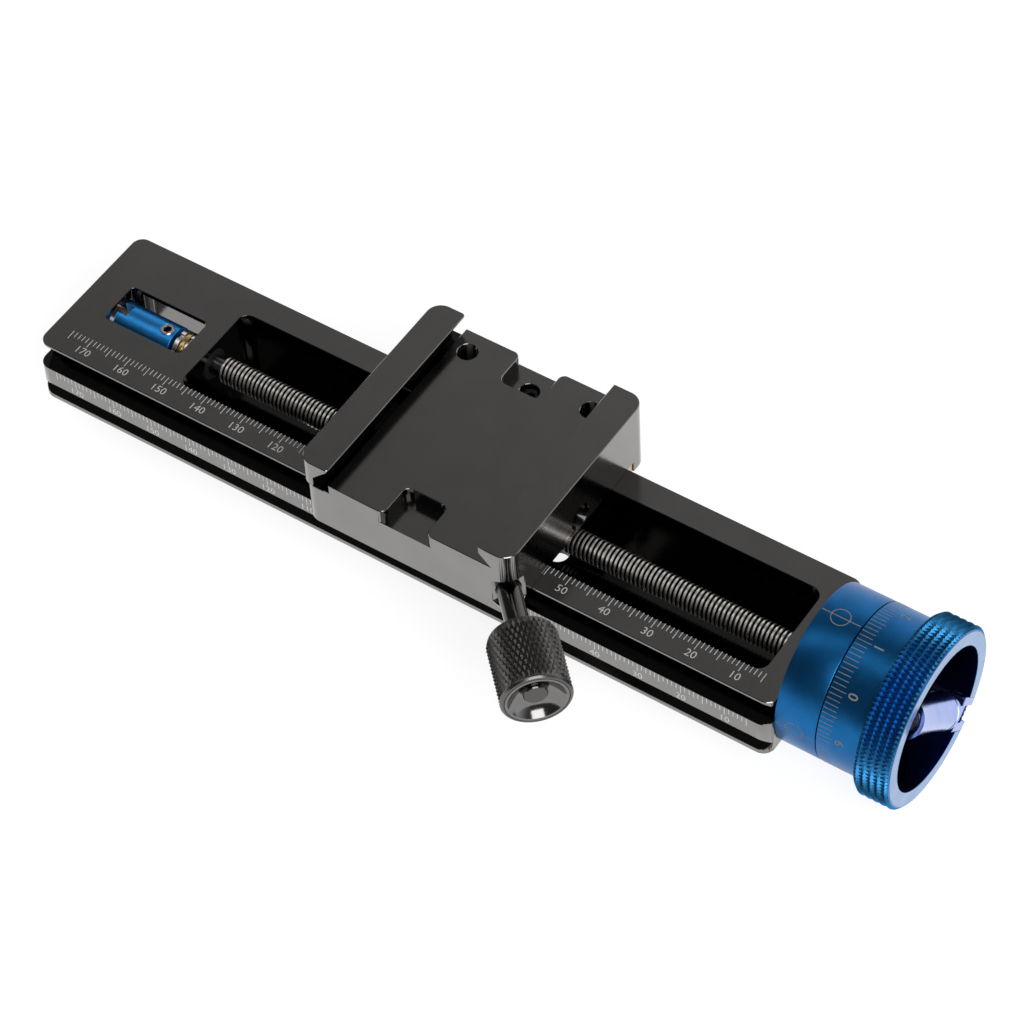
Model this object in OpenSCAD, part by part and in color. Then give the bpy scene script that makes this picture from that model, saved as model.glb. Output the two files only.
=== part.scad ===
// Macro focusing rail: a slotted dovetail bed with a leadscrew and a dial knob that hides a
// fold-out crank, and a carriage whose side knob closes a plate clamp.
// Millimetres, +Z up, +X along the bed towards the dial knob.
// The origin is the centre of the bed's flat underside.

/* [Rail] */
// Length of the bed
rail_l = 180; // [165:1:240]
// Width of the foot and the lower body
rail_w = 38; // [37:0.5:44]
// Height of the bed
rail_h = 15.4; // [15:0.1:18]
// Width of the top flange
flange_w = 35.5; // [34.5:0.1:37]
// Height of the flange's upright edge
flange_t = 0.7; // [0.4:0.1:1.2]
// Width of the neck under the flange
neck_w = 28.4; // [27.5:0.1:30]
// Height of the lower body's top face
body_z = 9.58; // [8:0.02:10]
// Height of the foot's upright edge
foot_t = 0.95; // [0.5:0.05:1.4]
// Height of the grip groove's mouth above the foot
groove_h = 3.62; // [2.5:0.02:4]
// Depth of the grip groove
groove_d = 1.81; // [1:0.01:2.4]
// Corner radius of the bed seen from above
rail_corner_r = 2.7; // [1:0.1:4]
// Corner radius of the flange
flange_corner_r = 2.6; // [1:0.1:4]

/* [Slot and window] */
// Width of the leadscrew slot
slot_w = 23.1; // [21:0.1:24]
// Distance from the bed's left end to the slot
slot_from_left = 32.6; // [30:0.1:44]
// Thickness of the wall at the slot's right end
right_wall_t = 5.9; // [5:0.1:9]
// Thickness of the slot's floor
slot_floor_t = 3.8; // [3:0.1:4.4]
// Corner radius of the slot
slot_corner_r = 2.5; // [1:0.1:4]
// Thickness of the wall between the bed's left end and the window
left_wall_t = 7.9; // [6:0.1:8.4]
// Length of the window over the coupling
window_l = 19.9; // [19.5:0.1:20.2]
// Width of the window
window_w = 10.1; // [9.6:0.1:14]
// Corner radius of the window
window_corner_r = 1; // [0.5:0.1:2]
// Thickness of the lip around the window, over the wider pocket below
window_lip_t = 1.1; // [0.9:0.1:1.6]
// Width of the pocket below the window
window_pocket_w = 14; // [12:0.1:15]
// Distance from the window's left end to the pocket
window_pocket_setback = 2.8; // [1:0.1:4]
// Radius of the drive port in the left end
drive_port_r = 4.6; // [4.5:0.1:4.8]
// Distance of the small tripod threads from the middle
tripod_at = 28.8; // [20:0.1:32]
// Radius of the quarter-inch tripod threads
tripod_small_r = 2.55; // [2.4:0.01:2.6]
// Radius of the three-eighths tripod thread
tripod_large_r = 4; // [3.9:0.01:4.1]

/* [Leadscrew] */
// Height of the leadscrew's axis
screw_z = 10.05; // [9.8:0.05:10.4]
// Thread pitch, which is also the carriage's travel for one turn
pitch = 1; // [0.8:0.1:1.5]
// Radius of the thread's crest
crest_r = 2.9; // [2.8:0.05:3.1]
// Radius of the thread's root
root_r = 2.4; // [2.2:0.05:2.6]
// Radius of the journal on the knob side
front_journal_r = 2.5; // [2.3:0.05:2.7]
// Radius of the journal on the coupling side
rear_journal_r = 2; // [1.8:0.05:2.2]
// Clearance of shafts in their bores
run_fit = 0.05; // [0.02:0.01:0.08]
// Radius of the front bush
front_bush_r = 5; // [4.2:0.1:5.4]
// Radius of the rear bush
rear_bush_r = 3.6; // [3:0.1:4]

/* [Coupling] */
// Radius of the coupling
coupling_r = 4.3; // [4:0.05:4.5]
// Length of the coupling
coupling_l = 14.5; // [12:0.05:14.7]
// Width of the coupling's drive slots
coupling_slot_w = 2.75; // [2:0.05:3.2]
// Depth of the coupling's drive slots
coupling_slot_d = 2.4; // [1.5:0.1:3]
// Radius of the rings between the coupling and the wall
ring_r = 4.2; // [3.8:0.05:4.4]
// Thickness of the steel ring
steel_ring_t = 1.2; // [1:0.05:1.4]
// Thickness of the brass ring
brass_ring_t = 1.25; // [0.6:0.05:1.4]
// Thickness of the slotted lock nut
lock_nut_t = 1.1; // [1:0.05:1.3]
// Radius of the coupling's grub screw
coupling_screw_r = 1.5; // [1.2:0.05:1.7]

/* [Dial knob] */
// Radius of the fixed collar
collar_r = 17.05; // [16.8:0.05:18.5]
// Length of the fixed collar
collar_l = 9.16; // [8.5:0.02:11]
// Seam between the collar and the dial
seam = 0.2; // [0.1:0.05:0.4]
// Radius of the dial
dial_r = 17.07; // [16.5:0.01:18.5]
// Length of the dial
dial_l = 9.35; // [7.5:0.05:10]
// Radius over the knurled grip
grip_r = 19.75; // [19:0.05:21]
// Length of the knurled grip
grip_l = 7.85; // [7.4:0.05:12]
// Chamfer at the grip's end face
grip_chamfer = 1.05; // [0.4:0.05:1.4]
// Radius of the cavity in the knob
cavity_r = 15.65; // [15:0.05:16.2]
// Thickness of the web behind the cavity
web_t = 4.2; // [3:0.1:5]
// Radius of the ball bearing
bearing_r = 6.5; // [6:0.1:7]
// Width of the ball bearing
bearing_w = 4; // [3:0.1:4.4]

/* [Crank] */
// Direction of the crank's hinge about the knob's axis
crank_angle = -45.5; // [-60:0.5:-30]
// Depth of the folded crank's axis behind the knob's end face
crank_depth = 2.65; // [2.6:0.05:2.9]
// Distance of the hinge pin from the knob's axis
crank_pin_at = 15.5; // [15.2:0.1:15.9]
// Radius of the hinge pin
crank_pin_r = 1; // [0.8:0.05:1.1]
// Width of the gap between the hinge ears
ear_gap = 3.7; // [3.2:0.1:4]
// Thickness of one hinge ear
ear_t = 1.85; // [1.4:0.05:2.2]
// Radius of the crank grip's free end
grip_free_r = 4.3; // [4:0.05:4.5]
// Radius of the crank grip's waist
grip_waist_r = 3.75; // [3.3:0.05:3.9]
// Radius of the crank grip at the hinge
grip_root_r = 4; // [3.8:0.05:4.3]
// Length of the crank grip
grip_len = 22.5; // [20:0.1:22.8]
// Radius of the crank's axle
axle_r = 1.6; // [1.3:0.05:1.8]

/* [Carriage] */
// Place of the carriage's middle along the bed
carriage_at = 9.6; // [-30:0.1:40]
// Length of the carriage along the bed
block_l = 50.3; // [47:0.1:52]
// Width of the carriage
block_w = 49.4; // [48:0.1:56]
// Height of the clamp's seat over the bed
seat_rise = 10.64; // [10.2:0.02:14]
// Reach of the carriage's skirts below the bed's top
skirt_d = 2.66; // [2:0.02:3]
// Sliding clearance on the bed
slide_fit = 0.06; // [0.03:0.01:0.1]
// Corner radius of the carriage and the jaws
block_corner_r = 3.3; // [2:0.1:4]
// Drop of the moving jaw's ledge below the seat
ledge_drop = 2.44; // [2:0.02:2.8]
// Width of the moving jaw's ledge
ledge_w = 6.6; // [6:0.1:7.4]
// Length of the stop pockets
pocket_l = 10; // [7:0.1:12]
// Reach of the stop pockets into the carriage
pocket_w = 8.3; // [6:0.1:9]
// Depth of the stop pockets
pocket_d = 3.44; // [2:0.02:4]
// Corner radius of the stop pockets
pocket_r = 1.7; // [1:0.1:2.4]
// Thickness of the brass gib beside the flange
gib_w = 1.9; // [1.6:0.05:2.6]
// Distance of the gib screws inside the gib's outer side
gib_screw_in = 0.17; // [0:0.01:0.4]
// Spacing of the gib screws
gib_screw_pitch = 15; // [12:0.1:16]
// Radius of the gib screws
gib_screw_r = 2.15; // [1.8:0.05:2.4]
// Width of the feed nut
nut_w = 18; // [17.4:0.1:19]

/* [Plate clamp] */
// Height of the jaws over the seat
jaw_rise = 4.43; // [3.6:0.01:5.5]
// Width of the fixed jaw's top
fixed_jaw_w = 7.5; // [7:0.1:9]
// Height of the upright land on the fixed jaw's edge
fixed_land_h = 1.74; // [1:0.02:2.2]
// Width of the moving jaw's top
jaw_w = 7.42; // [7.2:0.02:8.2]
// Height of the upright land on the moving jaw's edge
jaw_land_h = 0.44; // [0.3:0.02:0.8]
// Reach of the moving jaw's edge over its foot
jaw_undercut = 3.9; // [2.6:0.05:4]
// Travel of the moving jaw from open to closed
jaw_travel = 3.1; // [2:0.05:3.15]
// Width of the draw bar
bar_w = 7.8; // [7:0.1:8.4]
// Height of the draw bar
bar_h = 4.8; // [4.6:0.1:5]

/* [Clamp knob] */
// Height of the clamp screw over the bed's top
clamp_rise = 3.1; // [3:0.05:3.3]
// Radius of the clamp screw
clamp_screw_r = 2.5; // [2.2:0.05:2.55]
// Distance from the carriage's corner to the knob
knob_gap = 9.2; // [8:0.1:14]
// Length of the knob
knob_l = 15.5; // [12:0.1:20]
// Radius over the knob's knurl
knob_r = 7.35; // [6.8:0.05:9]
// Radius of the knob's end cap
cap_r = 6.4; // [5.8:0.05:6.6]
// Radius of the dish in the end cap
dish_r = 5.2; // [4.6:0.05:5.6]
// Radius of the spot face in the carriage's corner
spot_face_r = 4.4; // [3.6:0.1:4.8]
// Depth of the spot face along the clamp screw
spot_face_d = 3.36; // [2.6:0.02:4]

/* [Hidden] */
$fn = 64;

black = "#26262a";
blue = "#1c63b0";
pale_blue = "#8fa3d6";
steel = "#b9b6b0";
brass = "#b99657";

// Overrun of cuts past the faces they leave
cut = 1;
// Gap between faces that turn or slide past each other
face_gap = 0.1;

// Places along the bed
left_end = -rail_l / 2;
right_end = rail_l / 2;
window_x0 = left_end + left_wall_t;
window_x1 = window_x0 + window_l;
slot_x0 = left_end + slot_from_left;
slot_x1 = right_end - right_wall_t;
flank_z = rail_h - flange_t - (flange_w - neck_w) / 2;

// Places along the leadscrew
steel_ring_x = window_x1 - face_gap - steel_ring_t;
ring_space = 0.12;
brass_ring_x = steel_ring_x - ring_space - brass_ring_t;
lock_nut_x = brass_ring_x - ring_space - lock_nut_t;
coupling_gap = 0.85;
coupling_x = lock_nut_x - coupling_gap - coupling_l;
journal_in_coupling = 8;
thread_setback = 2.6;
thread_reach = 0.4;
thread_x0 = slot_x0 + thread_setback;
thread_turns = floor((slot_x1 + thread_reach - thread_x0) / pitch);
thread_x1 = thread_x0 + thread_turns * pitch;
thread_hole_play = 0.3;
thread_hole_r = crest_r + thread_hole_play;
bush_step = 0.8;
rear_journal_x = coupling_x + coupling_l - journal_in_coupling;

// Places along the dial knob
collar_x1 = right_end + collar_l;
dial_x0 = collar_x1 + seam;
grip_x0 = dial_x0 + dial_l;
knob_end = grip_x0 + grip_l;
web_x1 = dial_x0 + web_t;
bearing_inset = 1.5;
bearing_x0 = right_end + bearing_inset;
hub_washer_t = 1;
hub_washer_r = 5;
hub_screw_r = 1.5;
hub_screw_head_r = 2.75;
hub_screw_head_h = 3;
hub_screw_l = 8;
hub_hole_r = hub_screw_r + 0.4 * run_fit;
journal_x1 = web_x1 - face_gap;

// Collar screws, as distances from the middle and heights
collar_screw_r = 1.5;
collar_screw_head_r = 2.75;
collar_screw_head_h = 3;
collar_floor_t = 4.6;
collar_screw_reach = 5;
collar_screw_low = [12.2, 5];
collar_screw_high = [10.5, 12.6];

// Crank, measured from the knob's axis towards the hinge
crank_x = knob_end - crank_depth;
ear_inner = 12.6;
ear_outer = 18.5;
bracket_depth = 7.05;
bracket_base_t = 1.5;
bracket_half = ear_gap / 2 + ear_t;
eye_r = 2.2;
shoulder_r = 3.6;
shoulder_t = 1.5;
shoulder_at = 10.6;
tongue_half = ear_gap / 2 - face_gap;
grip_end_play = 0.2;
grip_root_at = shoulder_at - shoulder_t - grip_end_play;
grip_free_at = grip_root_at - grip_len;
grip_recess_r = 3.6;
grip_recess_d = 2.7;
axle_end_play = 0.3;
axle_end_at = grip_free_at + grip_recess_d - axle_end_play;
axle_screw_r = 1;
axle_screw_head_r = 2.6;
axle_screw_head_h = 1.6;
axle_screw_l = 5;

// Levels of the carriage
skirt_z = rail_h - skirt_d;
under_z = rail_h + slide_fit;
seat_z = rail_h + seat_rise;
ledge_z = seat_z - ledge_drop;
jaw_top_z = seat_z + jaw_rise;
pocket_z = seat_z - pocket_d;
gib_side = flange_w / 2 + gib_w;
gib_screw_side = gib_side - gib_screw_in;
gib_top_gap = 0.2;
gib_top_z = rail_h + gib_top_gap;
block_x0 = carriage_at - block_l / 2;
block_x1 = carriage_at + block_l / 2;
block_y = block_w / 2;
pocket_offset = -0.05;
pocket_x = carriage_at + pocket_offset;
flare_r = 1.5;
socket_share = 0.58;
bar_gap = 0.6;
bar_z0 = rail_h + bar_gap;
bar_play = 0.2;
channel_half = bar_w / 2 + bar_play;
channel_top = bar_z0 + bar_h + bar_play;
gib_screw_offset = 0.2;
gib_screw_x = carriage_at + gib_screw_offset;
gib_screw_l = 5.5;
gib_screw_tip_h = 1;

// Feed nut under the carriage
nut_from_left = 5.55;
nut_from_right = 5.25;
nut_floor_gap = 0.8;
nut_x0 = block_x0 + nut_from_left;
nut_x1 = block_x1 - nut_from_right;
nut_z0 = slot_floor_t + nut_floor_gap;
nut_screw_r = 1.25;
nut_screw_head_r = 2.2;
nut_screw_head_h = 2.5;
nut_screw_head_fit = 0.15;
nut_screw_edge = 2.6;
nut_screw_side = nut_w / 2 - nut_screw_edge;
nut_screw_inset = 5;
nut_screw_bite = 4.5;

// Moving jaw and its draw bar, at rest fully open
jaw_play = 0.05;
jaw_step_gap = 0.6;
jaw_face_x = block_x0 + ledge_w - jaw_travel - jaw_step_gap - jaw_play - face_gap / 2;
jaw_x1 = jaw_face_x + jaw_undercut;
jaw_x0 = jaw_x1 - jaw_w;
jaw_tip_r = 0.8;
jaw_foot_z = ledge_z + jaw_play;
tab_half = 6;
tab_setback = 0.15;
tab_x1 = jaw_face_x - tab_setback;
tab_play = 0.3;
jaw_screw_r = 2;
jaw_screw_head_r = 2.8;
jaw_screw_head_h = 2;
jaw_screw_l = 10;
bar_mid_z = bar_z0 + bar_h / 2;

// Clamp screw, measured outwards from the carriage's front right corner
clamp_dir = -45;
clamp_z = rail_h + clamp_rise;
cone_angle = 22.5;
cone_tip_r = 0.6;
cone_tip_side = 3.5;
cone_tip_at = -(block_y - cone_tip_side) / sin(-clamp_dir);
cone_shank_l = 3.2;
cone_l = (clamp_screw_r - cone_tip_r) / tan(cone_angle);
cone_base_at = cone_tip_at + cone_l + cone_shank_l;
bore_end_at = cone_tip_at - jaw_travel;
knob_end_at = knob_gap + knob_l;
cap_t = 1.2;
cap_seam = 0.15;
knob_chamfer = 0.8;
wedge_gap = 0.1;
tip_x = block_x1 + cone_tip_at * cos(clamp_dir) + cone_tip_r * sin(-clamp_dir);
tip_y = -block_y + cone_tip_at * sin(clamp_dir) + cone_tip_r * cos(clamp_dir);
bar_tail = 3.4;
bar_x1 = tip_x + bar_tail;
wedge_slope = tan(-clamp_dir - cone_angle);
wedge_y_at_tip = tip_y + wedge_gap / cos(-clamp_dir - cone_angle);
wedge_x1 = tip_x + (wedge_y_at_tip + bar_w / 2) / wedge_slope;
wedge_x0 = tip_x - 2 * jaw_travel - cut;

// Screw that stops the draw bar
stop_screw_rise = 3.4;
stop_screw_z = rail_h + stop_screw_rise;
stop_hole_r = 2.9;
stop_screw_r = 1.5;
stop_screw_head_r = 2.6;
stop_screw_head_h = 3;
stop_screw_x0 = bar_x1 + jaw_travel + face_gap;
stop_hole_depth = 9;
stop_seat_x = block_x1 - stop_hole_depth;
channel_end_play = 0.4;
channel_x1 = stop_screw_x0 + channel_end_play;

// Upright slab with round corners, from x0 to x1 and half_y to each side
module slab(x0, x1, half_y, z0, z1, r) {
    translate([x0 + r, -half_y, z0])
        cube([x1 - x0 - 2 * r, 2 * half_y, z1 - z0]);
    translate([x0, -half_y + r, z0])
        cube([x1 - x0, 2 * half_y - 2 * r, z1 - z0]);
    for (x = [x0 + r, x1 - r], y = [-half_y + r, half_y - r])
        translate([x, y, z0])
            cylinder(r = r, h = z1 - z0);
}

// Round bar along X on the leadscrew's axis
module axial_bar(x0, x1, r) {
    translate([x0, 0, screw_z])
        rotate([0, 90, 0])
            cylinder(r = r, h = x1 - x0);
}

// Ring along X on the leadscrew's axis
module axial_ring(x0, x1, outer_r, inner_r) {
    difference() {
        axial_bar(x0, x1, outer_r);
        axial_bar(x0 - cut, x1 + cut, inner_r);
    }
}

// Shape turned about the leadscrew's axis, its outline as radius and place along X
module axial_turning(outline) {
    translate([0, 0, screw_z])
        rotate([0, 90, 0])
            rotate_extrude()
                polygon(outline);
}

// Cap screw standing on the underside of its head, the shank pointing down
module cap_screw(r, length, head_r, head_h) {
    translate([0, 0, -length])
        cylinder(r = r, h = length);
    difference() {
        cylinder(r = head_r, h = head_h);
        translate([0, 0, head_h / 2])
            cylinder(r = head_r * socket_share, h = head_h, $fn = 6);
    }
}

// Frame of the crank: X as the knob, Y towards the hinge, Z along the hinge pin
module crank_frame() {
    translate([crank_x, 0, screw_z])
        rotate([crank_angle, 0, 0])
            children();
}

// Shape turned about the crank's axle, its outline as radius and place along the axle
module crank_turning(outline) {
    crank_frame()
        rotate([-90, 0, 0])
            rotate_extrude()
                polygon(outline);
}

// Frame of the clamp screw: Z outwards from the carriage's front right corner
module clamp_frame() {
    translate([block_x1, -block_y, clamp_z])
        rotate([0, 0, clamp_dir])
            rotate([0, 90, 0])
                children();
}

module rail_profile() {
    half = rail_w / 2;
    flange = flange_w / 2;
    neck = neck_w / 2;
    side = [[half, 0], [half, foot_t], [half - groove_d, foot_t + groove_h / 2],
            [half, foot_t + groove_h], [half, body_z], [neck, body_z], [neck, flank_z],
            [flange, rail_h - flange_t], [flange, rail_h]];
    last = len(side) - 1;
    polygon(concat(side, [for (i = [last : -1 : 0]) [-side[i][0], side[i][1]]]));
}

// Bar of a given Y and Z section along X
module along_bed(x0, x1) {
    translate([x0, 0, 0])
        rotate([90, 0, 90])
            linear_extrude(height = x1 - x0)
                children();
}

module collar_screw_places() {
    for (place = [collar_screw_low, collar_screw_high], side = [-1, 1])
        translate([0, side * place[0], place[1]])
            rotate([0, 90, 0])
                children();
}

module rail() {
    color(black)
    difference() {
        intersection() {
            along_bed(left_end, right_end)
                rail_profile();
            union() {
                slab(left_end, right_end, rail_w / 2, 0, body_z, rail_corner_r);
                slab(left_end, right_end, flange_w / 2, foot_t, rail_h, flange_corner_r);
            }
        }
        slab(slot_x0, slot_x1, slot_w / 2, slot_floor_t, rail_h + cut, slot_corner_r);
        slab(window_x0, window_x1, window_w / 2, -cut, rail_h + cut, window_corner_r);
        slab(window_x0 + window_pocket_setback, window_x1, window_pocket_w / 2, -cut,
             rail_h - window_lip_t, window_corner_r);
        axial_bar(left_end - cut, window_x0 + cut, drive_port_r);
        axial_bar(window_x1 - cut, slot_x0 + cut, rear_bush_r);
        axial_bar(slot_x1 - cut, slot_x1 + cut, thread_hole_r);
        axial_bar(slot_x1 + bush_step, right_end + cut, front_bush_r);
        for (x = [-tripod_at, tripod_at])
            translate([x, 0, -cut])
                cylinder(r = tripod_small_r, h = slot_floor_t + 2 * cut);
        translate([0, 0, -cut])
            cylinder(r = tripod_large_r, h = slot_floor_t + 2 * cut);
        translate([right_end - collar_screw_reach, 0, 0])
            collar_screw_places()
                cylinder(r = collar_screw_r, h = collar_screw_reach + cut);
    }
}

module front_bush() {
    color(brass)
    axial_ring(slot_x1 + bush_step, right_end, front_bush_r, front_journal_r + run_fit);
}

module rear_bush() {
    color(black)
    axial_ring(window_x1, slot_x0, rear_bush_r, rear_journal_r + run_fit);
}

module ball_bearing() {
    inner = front_journal_r + run_fit;
    race = (bearing_r - inner) / 4;
    shield = bearing_w / 12;
    x1 = bearing_x0 + bearing_w;
    color(steel)
    axial_turning([[inner, bearing_x0], [inner + race, bearing_x0],
                   [inner + race, bearing_x0 + shield], [bearing_r - race, bearing_x0 + shield],
                   [bearing_r - race, bearing_x0], [bearing_r, bearing_x0], [bearing_r, x1],
                   [bearing_r - race, x1], [bearing_r - race, x1 - shield],
                   [inner + race, x1 - shield], [inner + race, x1], [inner, x1]]);
}

module collar() {
    color(blue)
    difference() {
        axial_bar(right_end, collar_x1, collar_r);
        axial_bar(right_end - cut, collar_x1 + cut, bearing_r * 2 / 3);
        axial_bar(bearing_x0, collar_x1 + cut, bearing_r);
        translate([right_end - cut, 0, 0])
            collar_screw_places()
                cylinder(r = collar_screw_r, h = collar_l + 2 * cut);
        translate([right_end + collar_floor_t, 0, 0])
            collar_screw_places()
                cylinder(r = collar_screw_head_r, h = collar_l);
    }
}

module collar_screws() {
    color(steel)
    translate([right_end + collar_floor_t, 0, 0])
        collar_screw_places()
            cap_screw(collar_screw_r, collar_floor_t + collar_screw_reach,
                      collar_screw_head_r, collar_screw_head_h);
}

module leadscrew() {
    thread = [for (i = [0 : thread_turns - 1], half = [0, 1])
                  [half == 0 ? root_r : crest_r, thread_x0 + (i + half / 2) * pitch]];
    outline = concat([[0, rear_journal_x], [rear_journal_r, rear_journal_x],
                      [rear_journal_r, thread_x0]],
                     thread,
                     [[root_r, thread_x1], [front_journal_r, thread_x1],
                      [front_journal_r, journal_x1], [hub_hole_r, journal_x1],
                      [hub_hole_r, journal_x1 - hub_screw_l], [0, journal_x1 - hub_screw_l]]);
    color(steel)
    axial_turning(outline);
}

module coupling() {
    x1 = coupling_x + coupling_l;
    color(blue)
    difference() {
        axial_bar(coupling_x, x1, coupling_r);
        axial_bar(rear_journal_x, x1 + cut, rear_journal_r);
        for (turn = [0, 90])
            translate([coupling_x - cut, 0, screw_z])
                rotate([turn, 0, 0])
                    translate([0, -coupling_slot_w / 2, -coupling_r - cut])
                        cube([cut + coupling_slot_d, coupling_slot_w, 2 * coupling_r + 2 * cut]);
        coupling_screw_place()
            cylinder(r = coupling_screw_r, h = coupling_r);
    }
}

module coupling_screw_place() {
    translate([coupling_x + coupling_l - coupling_screw_r * 3 / 2, 0, screw_z + rear_journal_r])
        children();
}

module coupling_screw() {
    length = coupling_r - rear_journal_r - face_gap;
    color(steel)
    coupling_screw_place()
        difference() {
            cylinder(r = coupling_screw_r, h = length);
            translate([0, 0, length / 3])
                cylinder(r = coupling_screw_r * socket_share, h = length, $fn = 6);
        }
}

// Ring on the leadscrew's journal with four notches for a spanner
module notched_ring(x, thickness) {
    notch = ring_r / 4;
    difference() {
        axial_ring(x, x + thickness, ring_r, rear_journal_r);
        for (turn = [0 : 90 : 270])
            translate([x - cut, 0, screw_z])
                rotate([turn, 0, 0])
                    translate([0, ring_r - notch / 2, -notch / 2])
                        cube([thickness + 2 * cut, notch, notch]);
    }
}

module lock_nut() {
    color(steel)
    notched_ring(lock_nut_x, lock_nut_t);
}

module brass_ring() {
    color(brass)
    axial_ring(brass_ring_x, brass_ring_x + brass_ring_t, ring_r, rear_journal_r);
}

module steel_ring() {
    color(steel)
    notched_ring(steel_ring_x, steel_ring_t);
}

module dial_knob() {
    step = (grip_r - dial_r) / 4;
    color(blue)
    difference() {
        axial_turning([[front_journal_r, dial_x0], [dial_r, dial_x0], [dial_r, grip_x0],
                       [grip_r - step, grip_x0], [grip_r, grip_x0 + step],
                       [grip_r, knob_end - grip_chamfer], [grip_r - grip_chamfer, knob_end],
                       [cavity_r, knob_end], [cavity_r, web_x1], [front_journal_r, web_x1]]);
        crank_frame()
            translate([crank_depth - bracket_depth, ear_inner, -bracket_half])
                cube([bracket_depth + cut, grip_r, 2 * bracket_half]);
    }
}

module hub_washer() {
    color(steel)
    axial_ring(web_x1, web_x1 + hub_washer_t, hub_washer_r, hub_screw_r);
}

module hub_screw() {
    color(steel)
    translate([web_x1 + hub_washer_t, 0, screw_z])
        rotate([0, 90, 0])
            cap_screw(hub_screw_r, hub_screw_l, hub_screw_head_r, hub_screw_head_h);
}

module crank_bracket() {
    base_x = crank_depth - bracket_depth;
    color(pale_blue)
    crank_frame()
        difference() {
            translate([base_x, ear_inner, -bracket_half])
                cube([bracket_depth, ear_outer - ear_inner, 2 * bracket_half]);
            translate([base_x + bracket_base_t, ear_inner - cut, -ear_gap / 2])
                cube([bracket_depth, ear_outer - ear_inner + 2 * cut, ear_gap]);
            translate([0, crank_pin_at, -bracket_half - cut])
                cylinder(r = crank_pin_r, h = 2 * bracket_half + 2 * cut);
        }
}

module crank_pin() {
    color(steel)
    crank_frame()
        translate([0, crank_pin_at, -bracket_half])
            cylinder(r = crank_pin_r, h = 2 * bracket_half);
}

module crank_link() {
    color(pale_blue)
    difference() {
        union() {
            crank_frame() {
                translate([0, crank_pin_at, -tongue_half])
                    cylinder(r = eye_r, h = 2 * tongue_half);
                translate([-eye_r, shoulder_at - shoulder_t / 2, -tongue_half])
                    cube([2 * eye_r, crank_pin_at - shoulder_at + shoulder_t / 2,
                          2 * tongue_half]);
            }
            crank_turning([[0, axle_end_at], [axle_r, axle_end_at],
                           [axle_r, shoulder_at - shoulder_t],
                           [shoulder_r, shoulder_at - shoulder_t], [shoulder_r, shoulder_at],
                           [0, shoulder_at]]);
        }
        crank_frame()
            translate([0, crank_pin_at, -tongue_half - cut])
                cylinder(r = crank_pin_r + run_fit, h = 2 * tongue_half + 2 * cut);
        crank_turning([[0, axle_end_at - cut], [axle_screw_r, axle_end_at - cut],
                       [axle_screw_r, axle_end_at + axle_screw_l],
                       [0, axle_end_at + axle_screw_l]]);
    }
}

module axle_screw() {
    color(steel)
    crank_frame()
        translate([0, axle_end_at, 0])
            rotate([90, 0, 0])
                cap_screw(axle_screw_r, axle_screw_l, axle_screw_head_r, axle_screw_head_h);
}

// Radius of the crank grip at a share of the way from its free end to its root
function grip_radius(s) =
    let (waist_at_share = 0.55, bow = 2.4)
    s < waist_at_share
        ? grip_waist_r + (grip_free_r - grip_waist_r) * pow(1 - s / waist_at_share, bow)
        : grip_waist_r + (grip_root_r - grip_waist_r)
              * pow((s - waist_at_share) / (1 - waist_at_share), bow);

module crank_grip() {
    steps = 16;
    side = [for (i = [0 : steps]) [grip_radius(i / steps), grip_free_at + i / steps * grip_len]];
    bore = axle_r + run_fit;
    color(pale_blue)
    crank_turning(concat([[bore, grip_free_at + grip_recess_d],
                          [grip_recess_r, grip_free_at + grip_recess_d],
                          [grip_recess_r, grip_free_at]],
                         side, [[bore, grip_root_at]]));
}

// Side outline of the carriage: ledge, seat and fixed jaw
module block_profile() {
    land_x = block_x1 - fixed_jaw_w;
    foot_x = land_x + jaw_rise - fixed_land_h;
    polygon([[block_x0, skirt_z], [block_x0, ledge_z], [block_x0 + ledge_w, ledge_z],
             [block_x0 + ledge_w, seat_z], [foot_x, seat_z],
             [land_x, jaw_top_z - fixed_land_h], [land_x, jaw_top_z],
             [block_x1, jaw_top_z], [block_x1, skirt_z]]);
}

// Distance from the middle to the running face beside the bed's neck and flank at height z
function flank_y(z) = neck_w / 2 + max(0, z - flank_z) + slide_fit * sqrt(2);

// Hollow under the carriage: the bed's flange on the near side, the gib's room on the far side
module bed_hollow() {
    near = flange_w / 2 + slide_fit;
    low = min(skirt_z, flank_z) - cut;
    polygon([[-flank_y(low), low], [-flank_y(flank_z), flank_z],
             [-near, flank_z + near - flank_y(flank_z)], [-near, under_z], [near, under_z],
             [near, gib_top_z], [gib_side, gib_top_z], [gib_side, low]]);
}

// Pocket for a plate's stop pin, open at the near side
module stop_pocket() {
    translate([0, -block_y, pocket_z]) {
        translate([-pocket_l / 2, -cut, 0])
            cube([pocket_l, pocket_w - pocket_r + cut, pocket_d + cut]);
        translate([-pocket_l / 2 + pocket_r, 0, 0])
            cube([pocket_l - 2 * pocket_r, pocket_w, pocket_d + cut]);
        for (side = [-1, 1]) {
            translate([side * (pocket_l / 2 - pocket_r), pocket_w - pocket_r, 0])
                cylinder(r = pocket_r, h = pocket_d + cut);
            translate([side * (pocket_l / 2 + flare_r / 2), flare_r / 2 - cut / 2, (pocket_d + cut) / 2])
                difference() {
                    cube([flare_r, flare_r + cut, pocket_d + cut], center = true);
                    translate([side * flare_r / 2, flare_r / 2 + cut / 2, 0])
                        cylinder(r = flare_r, h = pocket_d + 4 * cut, center = true);
                }
        }
    }
}

module gib_screw_places(z) {
    for (i = [-1 : 1])
        translate([gib_screw_x + i * gib_screw_pitch, gib_screw_side, z])
            children();
}

module nut_screw_places(z) {
    for (x = [nut_x0 + nut_screw_inset, nut_x1 - nut_screw_inset], side = [-1, 1])
        translate([x, side * nut_screw_side, z])
            children();
}

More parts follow.
